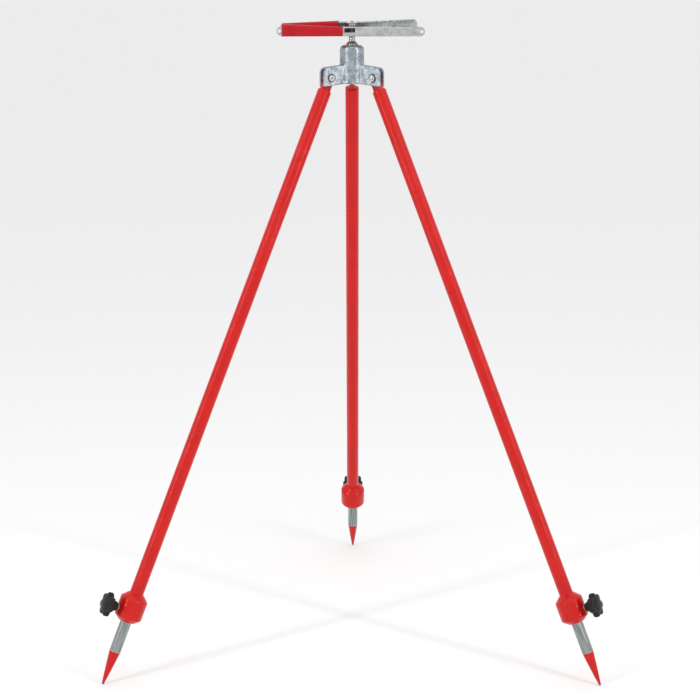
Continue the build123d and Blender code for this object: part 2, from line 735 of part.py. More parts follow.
with BuildPart() as front_arm:
    add(front_jaw)
    add(front_handle)
    for flange_base in (0, FRONT_HEIGHT - SHEET):
        with BuildSketch(clamp_plane(flange_base)):
            Circle(EYE_RADIUS)
            with Locations((0, -EYE_BRIDGE / 2)):
                Rectangle(2 * EYE_RADIUS, EYE_BRIDGE)
        extrude(amount=SHEET)
    # flat tab past the jaw, with a hole to hang the clamp up by
    with BuildSketch(jaw_frame(True)):
        slot_length = FRONT_TAB_LENGTH + FRONT_HEIGHT
        with Locations((FRONT_JAW_END + FRONT_TAB_LENGTH - slot_length / 2, FRONT_HEIGHT / 2)):
            SlotOverall(slot_length, FRONT_HEIGHT)
    extrude(amount=-SHEET)
    tab_hole_x = FRONT_JAW_END + FRONT_TAB_LENGTH - TAB_HOLE_RADIUS - SHEET
    with BuildSketch(jaw_frame(True)):
        with Locations((tab_hole_x, FRONT_HEIGHT / 2)):
            Circle(TAB_HOLE_RADIUS)
        with Locations(((WINDOW_START + WINDOW_END) / 2, (WINDOW_SILL + FRONT_HEIGHT - SHEET) / 2)):
            Rectangle(WINDOW_END - WINDOW_START, FRONT_HEIGHT - SHEET - WINDOW_SILL)
    extrude(amount=-2 * SHEET, mode=Mode.SUBTRACT)
    # the same at the end of the handle, out of the grip
    handle_face = handle_frame(True)
    handle_top = FRONT_HANDLE_TOPS[1] - SHEET
    tab_height = (FRONT_HANDLE_BOTTOM + handle_top) / 2
    with BuildSketch(handle_face):
        with Locations((HANDLE_LENGTH - TAB_LENGTH / 2, tab_height)):
            SlotOverall(3 * TAB_LENGTH, 2 * TAB_LENGTH)
    extrude(amount=inward(handle_face, True) * SHEET)
    with BuildSketch(handle_face):
        with Locations((HANDLE_LENGTH + TAB_LENGTH - TAB_HOLE_RADIUS - SHEET, tab_height)):
            Circle(TAB_HOLE_RADIUS)
    extrude(amount=inward(handle_face, True) * 2 * SHEET, mode=Mode.SUBTRACT)
    with BuildSketch(clamp_plane(-SHEET)):
        Circle(PIVOT_RADIUS + FIT)
    extrude(amount=FRONT_HEIGHT + 2 * SHEET, mode=Mode.SUBTRACT)
    add(jaw_cutter(True, FRONT_HEIGHT), mode=Mode.SUBTRACT)
finish(front_arm.part, "front_arm")

rear_handle = handle_channel(False, REAR_HANDLE_BOTTOM, REAR_HANDLE_TOPS)
rear_jaw = jaw_channel(
    False,
    [
        (HANDLE_START, REAR_BOTTOM, REAR_TOP),
        (REAR_SLOPE_START, REAR_BOTTOM, REAR_TOP),
        (REAR_JAW_END, REAR_BOTTOM, REAR_JAW_TOP),
    ],
)

with BuildPart() as rear_arm:
    add(rear_jaw)
    add(rear_handle)
    for flange_base, bore in ((REAR_BOTTOM, PIVOT_RADIUS), (REAR_TOP - SHEET, STUD_TIP_RADIUS)):
        with BuildSketch(clamp_plane(flange_base)):
            Circle(EYE_RADIUS)
            with Locations((0, EYE_BRIDGE / 2)):
                Rectangle(2 * EYE_RADIUS, EYE_BRIDGE)
        extrude(amount=SHEET)
        with BuildSketch(clamp_plane(flange_base)):
            Circle(bore + FIT)
        extrude(amount=SHEET, mode=Mode.SUBTRACT)
    add(jaw_cutter(False, REAR_JAW_TOP), mode=Mode.SUBTRACT)
    # the jaw's upper outer corner is rounded off
    with BuildSketch(jaw_frame(False)):
        corner = (REAR_JAW_END - REAR_CORNER_RADIUS, REAR_JAW_TOP - REAR_CORNER_RADIUS)
        with Locations(corner):
            Rectangle(4 * REAR_CORNER_RADIUS, 4 * REAR_CORNER_RADIUS, align=(Align.MIN, Align.MIN))
            Circle(REAR_CORNER_RADIUS, mode=Mode.SUBTRACT)
    extrude(amount=2 * ARM_HALF_WIDTH, mode=Mode.SUBTRACT)
finish(rear_arm.part, "rear_arm")


def grip_sleeve(front, bottom, tops, start):
    """Dipped vinyl sleeve over one handle's channel, open at both ends."""
    frame = handle_frame(front)
    sense = inward(frame, front)
    slope = (tops[1] - tops[0]) / HANDLE_LENGTH
    first_top = tops[0] + slope * start
    last_top = tops[0] + slope * SLEEVE_END
    with BuildPart() as sleeve:
        with BuildSketch(frame.offset(-sense * SLEEVE_WALL)):
            with BuildLine():
                Polyline(
                    (start, bottom - SLEEVE_WALL),
                    (SLEEVE_END, bottom - SLEEVE_WALL),
                    (SLEEVE_END, last_top + SLEEVE_WALL),
                    (start, first_top + SLEEVE_WALL),
                    close=True,
                )
            make_face()
        extrude(amount=sense * (HANDLE_DEPTH + 2 * SLEEVE_WALL))
        long_edges = sleeve.edges().filter_by(
            lambda edge: abs((edge % 0.5).dot(frame.x_dir)) > cos(radians(HANDLE_ANGLE))
        )
        fillet(long_edges, SLEEVE_CORNER_RADIUS)
        with BuildSketch(frame.offset(-sense * FIT)):
            with BuildLine():
                Polyline(
                    (start - SLEEVE_WALL, bottom - FIT),
                    (SLEEVE_END + SLEEVE_WALL, bottom - FIT),
                    (SLEEVE_END + SLEEVE_WALL, last_top + slope * SLEEVE_WALL + FIT),
                    (start - SLEEVE_WALL, first_top - slope * SLEEVE_WALL + FIT),
                    close=True,
                )
            make_face()
        extrude(amount=sense * (HANDLE_DEPTH + 2 * FIT), mode=Mode.SUBTRACT)
    return sleeve.part


front_sleeve = grip_sleeve(True, FRONT_HANDLE_BOTTOM, FRONT_HANDLE_TOPS, FRONT_SLEEVE_START)
finish(front_sleeve, "front_grip_sleeve")
rear_sleeve = grip_sleeve(False, REAR_HANDLE_BOTTOM, REAR_HANDLE_TOPS, REAR_SLEEVE_START)
finish(rear_sleeve, "rear_grip_sleeve")

with BuildPart() as pivot_spacer:
    with BuildSketch(clamp_plane(SPACER_BOTTOM)):
        Circle(SPACER_RADIUS)
        Circle(PIVOT_RADIUS + FIT, mode=Mode.SUBTRACT)
    extrude(amount=SPACER_TOP - SPACER_BOTTOM)
finish(pivot_spacer.part, "pivot_spacer")

with BuildPart() as pivot_nut:
    with BuildSketch(clamp_plane(PIVOT_NUT_BOTTOM)):
        RegularPolygon(hex_radius(PIVOT_NUT_FLATS), 6)
        Circle(PIVOT_RADIUS + FIT, mode=Mode.SUBTRACT)
    extrude(amount=PIVOT_NUT_HEIGHT)
finish(pivot_nut.part, "pivot_nut")

# Torsion spring round the spacer; its two straight legs push the handles apart.
coil_bottom = SPACER_BOTTOM + CLAMP_SPRING_WIRE / 2 + FIT
coil_height = SPACER_TOP - SPACER_BOTTOM - CLAMP_SPRING_WIRE - 2 * FIT
coil_turns = CLAMP_SPRING_TURNS + CLAMP_SPRING_LEG_ANGLE / 180
winding = coil_path(
    base=CLAMP_Z + coil_bottom,
    radius=CLAMP_SPRING_RADIUS,
    turns=coil_turns,
    height=coil_height,
    start_angle=-CLAMP_SPRING_LEG_ANGLE,
)
with BuildPart() as torsion_spring:
    with BuildSketch(Plane(origin=winding @ 0, z_dir=winding % 0)):
        Circle(CLAMP_SPRING_WIRE / 2)
    sweep(path=winding, is_frenet=True)
    for end, sense in ((0, -1), (1, 1)):
        tangent = winding % end
        level_tangent = Vector(tangent.X, tangent.Y, 0).normalized() * sense
        with BuildSketch(Plane(origin=winding @ end, z_dir=level_tangent)):
            Circle(CLAMP_SPRING_WIRE / 2)
        extrude(amount=CLAMP_SPRING_LEG)
finish(torsion_spring.part, "torsion_spring")
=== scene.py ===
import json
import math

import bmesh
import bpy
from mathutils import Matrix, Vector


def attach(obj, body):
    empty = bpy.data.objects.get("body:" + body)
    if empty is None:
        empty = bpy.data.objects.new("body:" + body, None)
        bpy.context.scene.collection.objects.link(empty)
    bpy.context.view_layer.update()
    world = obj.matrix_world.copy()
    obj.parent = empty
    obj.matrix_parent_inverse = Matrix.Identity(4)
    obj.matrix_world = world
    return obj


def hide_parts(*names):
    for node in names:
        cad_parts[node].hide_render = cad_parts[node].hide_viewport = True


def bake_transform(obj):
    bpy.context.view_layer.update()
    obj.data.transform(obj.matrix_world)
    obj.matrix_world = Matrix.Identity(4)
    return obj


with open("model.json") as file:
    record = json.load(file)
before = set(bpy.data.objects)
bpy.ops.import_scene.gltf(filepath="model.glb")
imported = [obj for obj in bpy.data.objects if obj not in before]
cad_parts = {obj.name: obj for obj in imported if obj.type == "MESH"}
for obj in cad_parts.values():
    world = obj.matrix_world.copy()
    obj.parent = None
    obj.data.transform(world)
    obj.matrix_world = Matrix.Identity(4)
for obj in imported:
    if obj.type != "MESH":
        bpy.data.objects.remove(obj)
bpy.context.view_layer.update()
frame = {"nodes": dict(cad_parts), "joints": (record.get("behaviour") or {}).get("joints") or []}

# %% [markdown]
# # A tripod that holds a ranging pole
#
# Surveyors sight along straight poles. This small tripod stands a pole upright: three red
# tube legs hinge on a cast head, a ball stud rises out of the head, and a sprung clamp on
# the stud grips the pole. The CAD frame gives every part its true size and place, so this
# lesson only has to give the parts their finish and the soft edges that real making leaves.

scene = bpy.context.scene
joints = {joint["name"]: joint for joint in frame["joints"]}
SIDES = ("left", "right", "rear")
MM = 0.001

# %% [markdown]
# ## Where each leg runs
#
# A leg is a straight tube, so nearly everything on it is round about one line. The fold
# joint gives the hinge, the slide joint gives the direction down the leg, and the knob's
# joint gives the direction in which the clamping knob points. A distance down the leg from
# its hinge is called a station below.

# %% Leg directions and stations
def leg_lines(side):
    """Hinge point, direction down the leg, and direction out through the knob."""
    hinge = Vector(joints[f"leg_{side}_fold"]["pos_m"])
    down = Vector(joints[f"inner_leg_{side}_slide"]["axis"]).normalized()
    out = Vector(joints[f"knob_{side}_turn"]["axis"]).normalized()
    return hinge, down, out


def span(node, origin, axis):
    """Start and end of a CAD node along a line, and its largest distance from the line."""
    along = []
    away = []
    for vertex in frame["nodes"][node].data.vertices:
        offset = vertex.co - origin
        distance = offset.dot(axis)
        along.append(distance)
        away.append((offset - axis * distance).length)
    return min(along), max(along), max(away)


for side in SIDES:
    hinge, down, out = leg_lines(side)
    start, end, radius = span(f"leg_tube_{side}", hinge, down)
    print(f"{side} tube: {start * 1000:.1f} to {end * 1000:.1f} mm, radius {radius * 1000:.1f} mm")

# %% [markdown]
# ## The camera
#
# A long lens from nearly three metres away, a little above the head and tipped down, keeps
# the legs nearly straight and lets both front feet stand lower than the rear one.

# %% Camera
LENS = 87.10
CAMERA_PLACE = Vector((0.01158, -2.73055, 1.08726))
CAMERA_PITCH = math.radians(12.295)
CAMERA_PAN = math.radians(-0.308)

camera_data = bpy.data.cameras.new("camera")
camera_data.lens = LENS
camera_data.sensor_width = 36.0
camera = bpy.data.objects.new("camera", camera_data)
camera.location = CAMERA_PLACE
camera.rotation_euler = (math.radians(90) - CAMERA_PITCH, 0.0, -CAMERA_PAN)
scene.collection.objects.link(camera)
scene.camera = camera
print("camera", [round(x, 3) for x in camera.location], "lens", LENS)

# %% [markdown]
# ## Light and floor
#
# Glossy paint only looks like paint if it has something to mirror. A photographer stands
# two tall, narrow soft boxes beside a polished tube, and each leaves one thin line down it.
# Here the line is faint, because the coat is thin and the pale surround is bright. Two wide
# soft boxes, one above and one in front, fill the rest. The floor runs on past the top of
# the camera's view, so no horizon shows there.

# %% Light and floor
def soft_box(name, place, aim, width, height, power):
    """An area light at a place, turned to face a point."""
    data = bpy.data.lights.new(name, "AREA")
    data.shape = "RECTANGLE"
    data.size = width
    data.size_y = height
    data.energy = power
    lamp = bpy.data.objects.new(name, data)
    lamp.location = place
    lamp.rotation_euler = (Vector(aim) - Vector(place)).to_track_quat("-Z", "Y").to_euler()
    scene.collection.objects.link(lamp)


head_height = joints["leg_left_fold"]["pos_m"][2]
middle = (0.0, 0.0, head_height / 2)
for name, sideways in (("left_strip", -1.9), ("right_strip", 1.9)):
    soft_box(name, (sideways, -1.5, 1.5), middle, 0.06, 2.4, 15)
soft_box("top_box", (0.0, -0.6, 2.6), middle, 2.2, 2.2, 5)
soft_box("front_fill", (-0.8, -3.0, 1.9), middle, 1.6, 1.6, 1)

world = bpy.data.worlds.new("pale_surround")
world.use_nodes = True
world.node_tree.nodes["Background"].inputs["Color"].default_value = (1.0, 1.0, 1.0, 1.0)
world.node_tree.nodes["Background"].inputs["Strength"].default_value = 0.9
scene.world = world
scene.view_settings.view_transform = "Standard"

FLOOR_SIZE = 300.0         # so wide that its far edge is above the view
bpy.ops.mesh.primitive_plane_add(size=FLOOR_SIZE)
floor = bpy.context.active_object
floor.name = "studio_floor"
floor_paint = bpy.data.materials.new("studio_floor")
floor_paint.use_nodes = True
floor_shader = floor_paint.node_tree.nodes["Principled BSDF"]
floor_shader.inputs["Base Color"].default_value = (0.93, 0.93, 0.93, 1.0)
floor_shader.inputs["Roughness"].default_value = 0.85
floor.data.materials.append(floor_paint)

# %% [markdown]
# ## Small tools for finishes
#
# Real surfaces are never one flat colour. Each finish below starts from a plain shader and
# adds slow changes of tone, fine changes of gloss and a little relief, all worked out from
# noise. Object coordinates are metres here, so a noise scale of 500 makes specks of about
# two millimetres. Turned pieces also carry a flat map, with the way round as x and the way
# along as y, which lets drawn tube show its lengthwise streaks.

# %% Helpers for node materials
def new_finish(name, colour, roughness, metallic=0.0):
    """A material with one shader, and its node tree."""
    finish = bpy.data.materials.new(name)
    finish.use_nodes = True
    shader = finish.node_tree.nodes["Principled BSDF"]
    shader.inputs["Base Color"].default_value = (*colour, 1.0)
    shader.inputs["Roughness"].default_value = roughness
    shader.inputs["Metallic"].default_value = metallic
    return finish, finish.node_tree, shader


def coordinates(tree, stretch=(1.0, 1.0, 1.0), flat=False):
    """Object coordinates, or the flat map of a turned piece, stretched by an amount."""
    place = tree.nodes.new("ShaderNodeTexCoord")
    mapping = tree.nodes.new("ShaderNodeMapping")
    mapping.inputs["Scale"].default_value = stretch
    tree.links.new(place.outputs["UV" if flat else "Object"], mapping.inputs["Vector"])
    return mapping.outputs["Vector"]


def noise(tree, vector, scale, detail=3.0, roughness=0.5):
    """Cloudy noise from 0 to 1."""
    cloud = tree.nodes.new("ShaderNodeTexNoise")
    cloud.inputs["Scale"].default_value = scale
    cloud.inputs["Detail"].default_value = detail
    cloud.inputs["Roughness"].default_value = roughness
    tree.links.new(vector, cloud.inputs["Vector"])
    return cloud.outputs["Fac"]


def cells(tree, vector, scale):
    """Irregular cells, such as the crystals of a metal coating."""
    pattern = tree.nodes.new("ShaderNodeTexVoronoi")
    pattern.inputs["Scale"].default_value = scale
    tree.links.new(vector, pattern.inputs["Vector"])
    return pattern.outputs["Color"]


def remap(tree, value, low, high, to_low, to_high):
    """Stretches the part of a value from low to high over a new range."""
    node = tree.nodes.new("ShaderNodeMapRange")
    node.interpolation_type = "SMOOTHSTEP"
    for name, number in zip(("From Min", "From Max", "To Min", "To Max"), (low, high, to_low, to_high)):
        node.inputs[name].default_value = number
    tree.links.new(value, node.inputs["Value"])
    return node.outputs["Result"]


def mix_colours(tree, factor, first, second):
    """Goes from the first colour to the second. Each is three numbers or a socket."""
    node = tree.nodes.new("ShaderNodeMix")
    node.data_type = "RGBA"
    tree.links.new(factor, node.inputs["Factor"])
    for socket, colour in ((node.inputs[6], first), (node.inputs[7], second)):
        if isinstance(colour, tuple):
            socket.default_value = (*colour, 1.0)
        else:
            tree.links.new(colour, socket)
    return node.outputs[2]


def relief(tree, shader, height, depth, strength=1.0):
    """Adds bumps of a depth in metres on top of whatever relief the shader has."""
    node = tree.nodes.new("ShaderNodeBump")
    node.inputs["Distance"].default_value = depth
    node.inputs["Strength"].default_value = strength
    tree.links.new(height, node.inputs["Height"])
    normal = shader.inputs["Normal"]
    if normal.is_linked:
        tree.links.new(normal.links[0].from_socket, node.inputs["Normal"])
    tree.links.new(node.outputs["Normal"], normal)


# %% [markdown]
# ## Red stove enamel
#
# The legs, collars and spikes are sprayed and baked. Sprayed enamel is very smooth but not
# perfectly flat: it has a faint orange peel, its red drifts a little in tone, and handling
# dulls it in patches. A clear coat over the colour gives the sharp, thin highlight.

# %% Red enamel
RED = (0.56, 0.006, 0.004)
DEEP_RED = (0.52, 0.005, 0.003)


def red_enamel():
    finish, tree, shader = new_finish("red_enamel", RED, 0.3)
    place = coordinates(tree)
    drift = remap(tree, noise(tree, place, 22.0), 0.35, 0.65, 0.0, 1.0)
    tree.links.new(mix_colours(tree, drift, RED, DEEP_RED), shader.inputs["Base Color"])
    handled = remap(tree, noise(tree, place, 60.0, detail=5.0), 0.42, 0.68, 0.22, 0.38)
    tree.links.new(handled, shader.inputs["Roughness"])
    shader.inputs["Specular IOR Level"].default_value = 0.15
    shader.inputs["Coat Weight"].default_value = 0.28
    shader.inputs["Coat Roughness"].default_value = 0.08
    relief(tree, shader, noise(tree, place, 330.0, detail=2.0), 0.00005, 0.35)
    relief(tree, shader, noise(tree, place, 1500.0), 0.00001, 0.25)
    return finish


ENAMEL = red_enamel()
print("finish", ENAMEL.name, "nodes", len(ENAMEL.node_tree.nodes))

# %% [markdown]
# The spikes are driven into the ground, so the enamel wears off the last few millimetres
# and leaves dull steel. The flat map's y is the station along the leg, which is all the
# pattern needs to know where the tip is.

# %% Enamel with a worn point
BARE_STEEL = (0.16, 0.13, 0.12)


def worn_enamel(tip_station):
    finish, tree, shader = new_finish("red_enamel_worn_point", RED, 0.32)
    place = coordinates(tree)
    drift = remap(tree, noise(tree, place, 60.0), 0.35, 0.65, 0.0, 1.0)
    paint = mix_colours(tree, drift, RED, DEEP_RED)
    split = tree.nodes.new("ShaderNodeSeparateXYZ")
    tree.links.new(coordinates(tree, flat=True), split.inputs["Vector"])
    ragged = tree.nodes.new("ShaderNodeMath")
    ragged.operation = "MULTIPLY_ADD"
    ragged.inputs[1].default_value = 0.005
    tree.links.new(noise(tree, place, 900.0, detail=4.0), ragged.inputs[0])
    tree.links.new(split.outputs["Y"], ragged.inputs[2])
    worn = remap(tree, ragged.outputs["Value"], tip_station - 0.0015, tip_station + 0.0005, 0.0, 1.0)
    tree.links.new(mix_colours(tree, worn, paint, BARE_STEEL), shader.inputs["Base Color"])
    tree.links.new(remap(tree, worn, 0.0, 1.0, 0.28, 0.5), shader.inputs["Roughness"])
    tree.links.new(worn, shader.inputs["Metallic"])
    shader.inputs["Specular IOR Level"].default_value = 0.15
    shader.inputs["Coat Weight"].default_value = 0.3
    shader.inputs["Coat Roughness"].default_value = 0.12
    relief(tree, shader, noise(tree, place, 420.0), 0.00005, 0.4)
    return finish


tip_station = max(span(f"spike_{side}", *leg_lines(side)[:2])[1] for side in SIDES)
WORN_ENAMEL = worn_enamel(tip_station)
print("spike tip at station", round(tip_station, 4))

# %% [markdown]
# ## Cast alloy
#
# The head is a light-alloy casting, tumbled with stones after casting. That leaves a bright
# grey skin with small dents, darker hollows and a slightly brushed gloss.

# %% Cast alloy
def cast_alloy():
    bright = (0.38, 0.42, 0.455)
    dull = (0.20, 0.23, 0.265)
    finish, tree, shader = new_finish("cast_alloy", bright, 0.36, metallic=0.9)
    place = coordinates(tree)
    cloud = remap(tree, noise(tree, place, 130.0, detail=6.0, roughness=0.6), 0.36, 0.66, 0.0, 1.0)
    tree.links.new(mix_colours(tree, cloud, bright, dull), shader.inputs["Base Color"])
    tree.links.new(remap(tree, noise(tree, place, 420.0, detail=5.0), 0.3, 0.7, 0.24, 0.5),
                   shader.inputs["Roughness"])
    relief(tree, shader, noise(tree, place, 240.0, detail=4.0), 0.0004, 0.30)
    relief(tree, shader, noise(tree, place, 1100.0, detail=3.0), 0.0001, 0.35)
    return finish


CASTING = cast_alloy()

# %% [markdown]
# ## Zinc on sheet, on fasteners and on drawn tube
#
# Pressed arms are zinc plated in a barrel with hundreds of others, which leaves a bluish
# mottle and many short scratches. Fasteners get the same coat, thinner and brighter. The
# sliding tubes are drawn through a die first, so their marks all run lengthwise.

# %% Zinc finishes
def plated_sheet():
    light = (0.46, 0.505, 0.52)
    shade = (0.35, 0.39, 0.41)
    finish, tree, shader = new_finish("zinc_plated_sheet", light, 0.34, metallic=0.88)
    place = coordinates(tree)
    crystals = cells(tree, place, 260.0)
    blotches = remap(tree, noise(tree, place, 95.0, detail=7.0, roughness=0.65), 0.38, 0.64, 0.0, 1.0)
    base = mix_colours(tree, blotches, light, shade)
    tint = tree.nodes.new("ShaderNodeMix")
    tint.data_type = "RGBA"
    tint.blend_type = "OVERLAY"
    tint.inputs["Factor"].default_value = 0.12
    tree.links.new(base, tint.inputs[6])
    tree.links.new(crystals, tint.inputs[7])
    grey = tree.nodes.new("ShaderNodeHueSaturation")
    grey.inputs["Saturation"].default_value = 0.35
    tree.links.new(tint.outputs[2], grey.inputs["Color"])
    tree.links.new(grey.outputs["Color"], shader.inputs["Base Color"])
    tree.links.new(remap(tree, noise(tree, place, 300.0, detail=6.0), 0.3, 0.7, 0.22, 0.5),
                   shader.inputs["Roughness"])
    scratches = noise(tree, coordinates(tree, (1.0, 14.0, 14.0)), 150.0, detail=5.0)
    relief(tree, shader, scratches, 0.00006, 0.3)
    relief(tree, shader, noise(tree, place, 700.0, detail=3.0), 0.00006, 0.3)
    return finish


def plated_fastener():
    light = (0.46, 0.46, 0.44)
    finish, tree, shader = new_finish("zinc_plated_fastener", light, 0.3, metallic=0.95)
    place = coordinates(tree)
    cloud = remap(tree, noise(tree, place, 300.0, detail=4.0), 0.35, 0.65, 0.0, 1.0)
    tree.links.new(mix_colours(tree, cloud, light, (0.33, 0.33, 0.32)), shader.inputs["Base Color"])
    tree.links.new(remap(tree, noise(tree, place, 800.0), 0.3, 0.7, 0.2, 0.42),
                   shader.inputs["Roughness"])
    relief(tree, shader, noise(tree, place, 1300.0), 0.00004, 0.25)
    return finish


def drawn_tube():
    light = (0.36, 0.40, 0.385)
    shade = (0.15, 0.175, 0.17)
    finish, tree, shader = new_finish("zinc_plated_drawn_tube", light, 0.3, metallic=0.92)
    streak = noise(tree, coordinates(tree, (1.0, 0.03, 1.0), flat=True), 700.0, detail=4.0)
    tree.links.new(mix_colours(tree, remap(tree, streak, 0.35, 0.7, 0.0, 1.0), light, shade),
                   shader.inputs["Base Color"])
    blur = noise(tree, coordinates(tree), 180.0, detail=5.0)
    tree.links.new(remap(tree, blur, 0.3, 0.7, 0.2, 0.42), shader.inputs["Roughness"])
    relief(tree, shader, streak, 0.00005, 0.3)
    return finish


def turned_steel():
    light = (0.47, 0.43, 0.39)
    finish, tree, shader = new_finish("turned_steel", light, 0.22, metallic=1.0)
    rings = noise(tree, coordinates(tree, (0.02, 1.0, 1.0), flat=True), 2600.0, detail=2.0)
    tree.links.new(mix_colours(tree, remap(tree, rings, 0.35, 0.65, 0.0, 1.0), light, (0.31, 0.28, 0.26)),
                   shader.inputs["Base Color"])
    tree.links.new(remap(tree, noise(tree, coordinates(tree), 400.0), 0.3, 0.7, 0.14, 0.34),
                   shader.inputs["Roughness"])
    relief(tree, shader, rings, 0.00004, 0.35)
    return finish


def spring_wire():
    finish, tree, shader = new_finish("spring_wire", (0.32, 0.32, 0.33), 0.34, metallic=0.95)
    place = coordinates(tree)
    cloud = remap(tree, noise(tree, place, 500.0, detail=4.0), 0.35, 0.65, 0.0, 1.0)
    tree.links.new(mix_colours(tree, cloud, (0.36, 0.36, 0.37), (0.17, 0.17, 0.18)),
                   shader.inputs["Base Color"])
    relief(tree, shader, noise(tree, place, 1600.0), 0.00003, 0.3)
    return finish


SHEET = plated_sheet()
FASTENER = plated_fastener()
DRAWN = drawn_tube()
TURNED = turned_steel()
WIRE = spring_wire()
print("metals", [m.name for m in (CASTING, SHEET, FASTENER, DRAWN, TURNED, WIRE)])

# %% [markdown]
# ## Plastics
#
# The grips are dipped in liquid vinyl, which sets soft, deep red and faintly uneven. The
# star knobs are moulded in a black thermoset with a fine spark-eroded grain that has gone
# shiny where fingers rub it. Bushes and pads are plain moulded plastic inside the legs.

# %% Plastic finishes
def dipped_vinyl():
    crimson = (0.44, 0.002, 0.012)
    finish, tree, shader = new_finish("dipped_vinyl", crimson, 0.36)
    place = coordinates(tree)
    cloud = remap(tree, noise(tree, place, 45.0, detail=3.0), 0.35, 0.65, 0.0, 1.0)
    tree.links.new(mix_colours(tree, cloud, crimson, (0.38, 0.002, 0.010)), shader.inputs["Base Color"])
    tree.links.new(remap(tree, noise(tree, place, 260.0, detail=4.0), 0.3, 0.7, 0.3, 0.46),
                   shader.inputs["Roughness"])
    shader.inputs["Specular IOR Level"].default_value = 0.2
    shader.inputs["Subsurface Weight"].default_value = 0.04
    shader.inputs["Subsurface Radius"].default_value = (0.004, 0.0008, 0.0005)
    shader.inputs["Coat Weight"].default_value = 0.15
    shader.inputs["Coat Roughness"].default_value = 0.3
    relief(tree, shader, noise(tree, place, 140.0, detail=2.0), 0.0003, 0.22)
    relief(tree, shader, noise(tree, place, 900.0, detail=2.0), 0.00005, 0.3)
    return finish


def black_moulding():
    finish, tree, shader = new_finish("black_moulding", (0.014, 0.013, 0.012), 0.4)
    place = coordinates(tree)
    shader.inputs["Specular IOR Level"].default_value = 0.12
    rubbed = remap(tree, noise(tree, place, 110.0, detail=4.0), 0.4, 0.65, 0.28, 0.5)
    tree.links.new(rubbed, shader.inputs["Roughness"])
    cloud = remap(tree, noise(tree, place, 300.0), 0.35, 0.65, 0.0, 1.0)
    tree.links.new(mix_colours(tree, cloud, (0.014, 0.013, 0.012), (0.026, 0.024, 0.022)),
                   shader.inputs["Base Color"])
    relief(tree, shader, noise(tree, place, 2200.0, detail=2.0), 0.00004, 0.4)
    return finish


def plain_moulding(name, light, shade):
    finish, tree, shader = new_finish(name, light, 0.45)
    place = coordinates(tree)
    cloud = remap(tree, noise(tree, place, 200.0, detail=4.0), 0.35, 0.65, 0.0, 1.0)
    tree.links.new(mix_colours(tree, cloud, light, shade), shader.inputs["Base Color"])
    relief(tree, shader, noise(tree, place, 1200.0), 0.00004, 0.3)
    return finish


VINYL = dipped_vinyl()
KNOB_BLACK = black_moulding()
BUSH_BLACK = plain_moulding("acetal_moulding", (0.05, 0.05, 0.052), (0.09, 0.09, 0.09))
PAD_NYLON = plain_moulding("nylon_moulding", (0.70, 0.67, 0.58), (0.58, 0.55, 0.47))
print("plastics", [m.name for m in (VINYL, KNOB_BLACK, BUSH_BLACK, PAD_NYLON)])

# %% [markdown]
# ## Turning, rounding and copying
#
# Three ways of making cover nearly every piece. Tubes, collars, rods and spikes are turned:
# a profile is spun about the leg's line. Bent and cut pieces start from the CAD node's own
# mesh, and a bevel breaks their sharp edges. Cast and dipped pieces start the same way, but
# are rebuilt from small cells and then smoothed, which melts every edge a little.

# %% Making turned pieces
def ease(points, radius, steps=3, closed=False):
    """Rounds each corner of a profile with a short curve."""
    count = len(points)
    eased = []
    for index, corner in enumerate(points):
        if not closed and index in (0, count - 1):
            eased.append(corner)
            continue
        before = Vector(points[index - 1])
        after = Vector(points[(index + 1) % count])
        here = Vector(corner)
        reach_in = min(radius, 0.45 * (before - here).length)
        reach_out = min(radius, 0.45 * (after - here).length)
        first = here + (before - here).normalized() * reach_in
        last = here + (after - here).normalized() * reach_out
        for step in range(steps + 1):
            t = step / steps
            point = first * (1 - t) ** 2 + here * 2 * t * (1 - t) + last * t ** 2
            eased.append((point.x, point.y))
    return eased


def turned(name, profile, origin, axis, seam, finish, steps=96, closed=False):
    """Spins a profile of (radius, station) points about a line, and adds the flat map."""
    third = axis.cross(seam)
    mesh = bpy.data.meshes.new(name)
    build = bmesh.new()
    flat = build.loops.layers.uv.new("flat")
    rings = []
    for radius, station in profile:
        centre = origin + axis * station
        if radius < 1e-7:
            rings.append([build.verts.new(centre)] * steps)
            continue
        ring = []
        for step in range(steps):
            turn = 2 * math.pi * step / steps
            spoke = seam * math.cos(turn) + third * math.sin(turn)
            ring.append(build.verts.new(centre + spoke * radius))
        rings.append(ring)
    widest = max(radius for radius, station in profile)
    pairs = list(zip(range(len(profile) - 1), range(1, len(profile))))
    if closed:
        pairs.append((len(profile) - 1, 0))
    for low, high in pairs:
        for step in range(steps):
            after = (step + 1) % steps
            corners = [
                (rings[low][step], step, low),
                (rings[low][after], step + 1, low),
                (rings[high][after], step + 1, high),
                (rings[high][step], step, high),
            ]
            unique = [c for i, c in enumerate(corners) if c[0] not in [d[0] for d in corners[:i]]]
            face = build.faces.new([c[0] for c in unique])
            for loop, (vertex, turn_step, level) in zip(face.loops, unique):
                around = 2 * math.pi * widest * turn_step / steps
                loop[flat].uv = (around, profile[level][1])
    bmesh.ops.recalc_face_normals(build, faces=build.faces)
    build.to_mesh(mesh)
    build.free()
    return place_mesh(name, mesh, finish)


def place_mesh(name, mesh, finish, sharp=35.0):
    """Puts a finished mesh in the scene, smooth except over edges sharper than an angle."""
    piece = bpy.data.objects.new(name, mesh)
    scene.collection.objects.link(piece)
    mesh.materials.clear()
    mesh.materials.append(finish)
    mesh.polygons.foreach_set("use_smooth", [True] * len(mesh.polygons))
    mesh.set_sharp_from_angle(angle=math.radians(sharp))
    return piece


# %% [markdown]
# The other pieces begin as copies of their CAD nodes. Welding comes first, because the CAD
# mesh is split along every face, and neither a bevel nor a remesh works across a split.

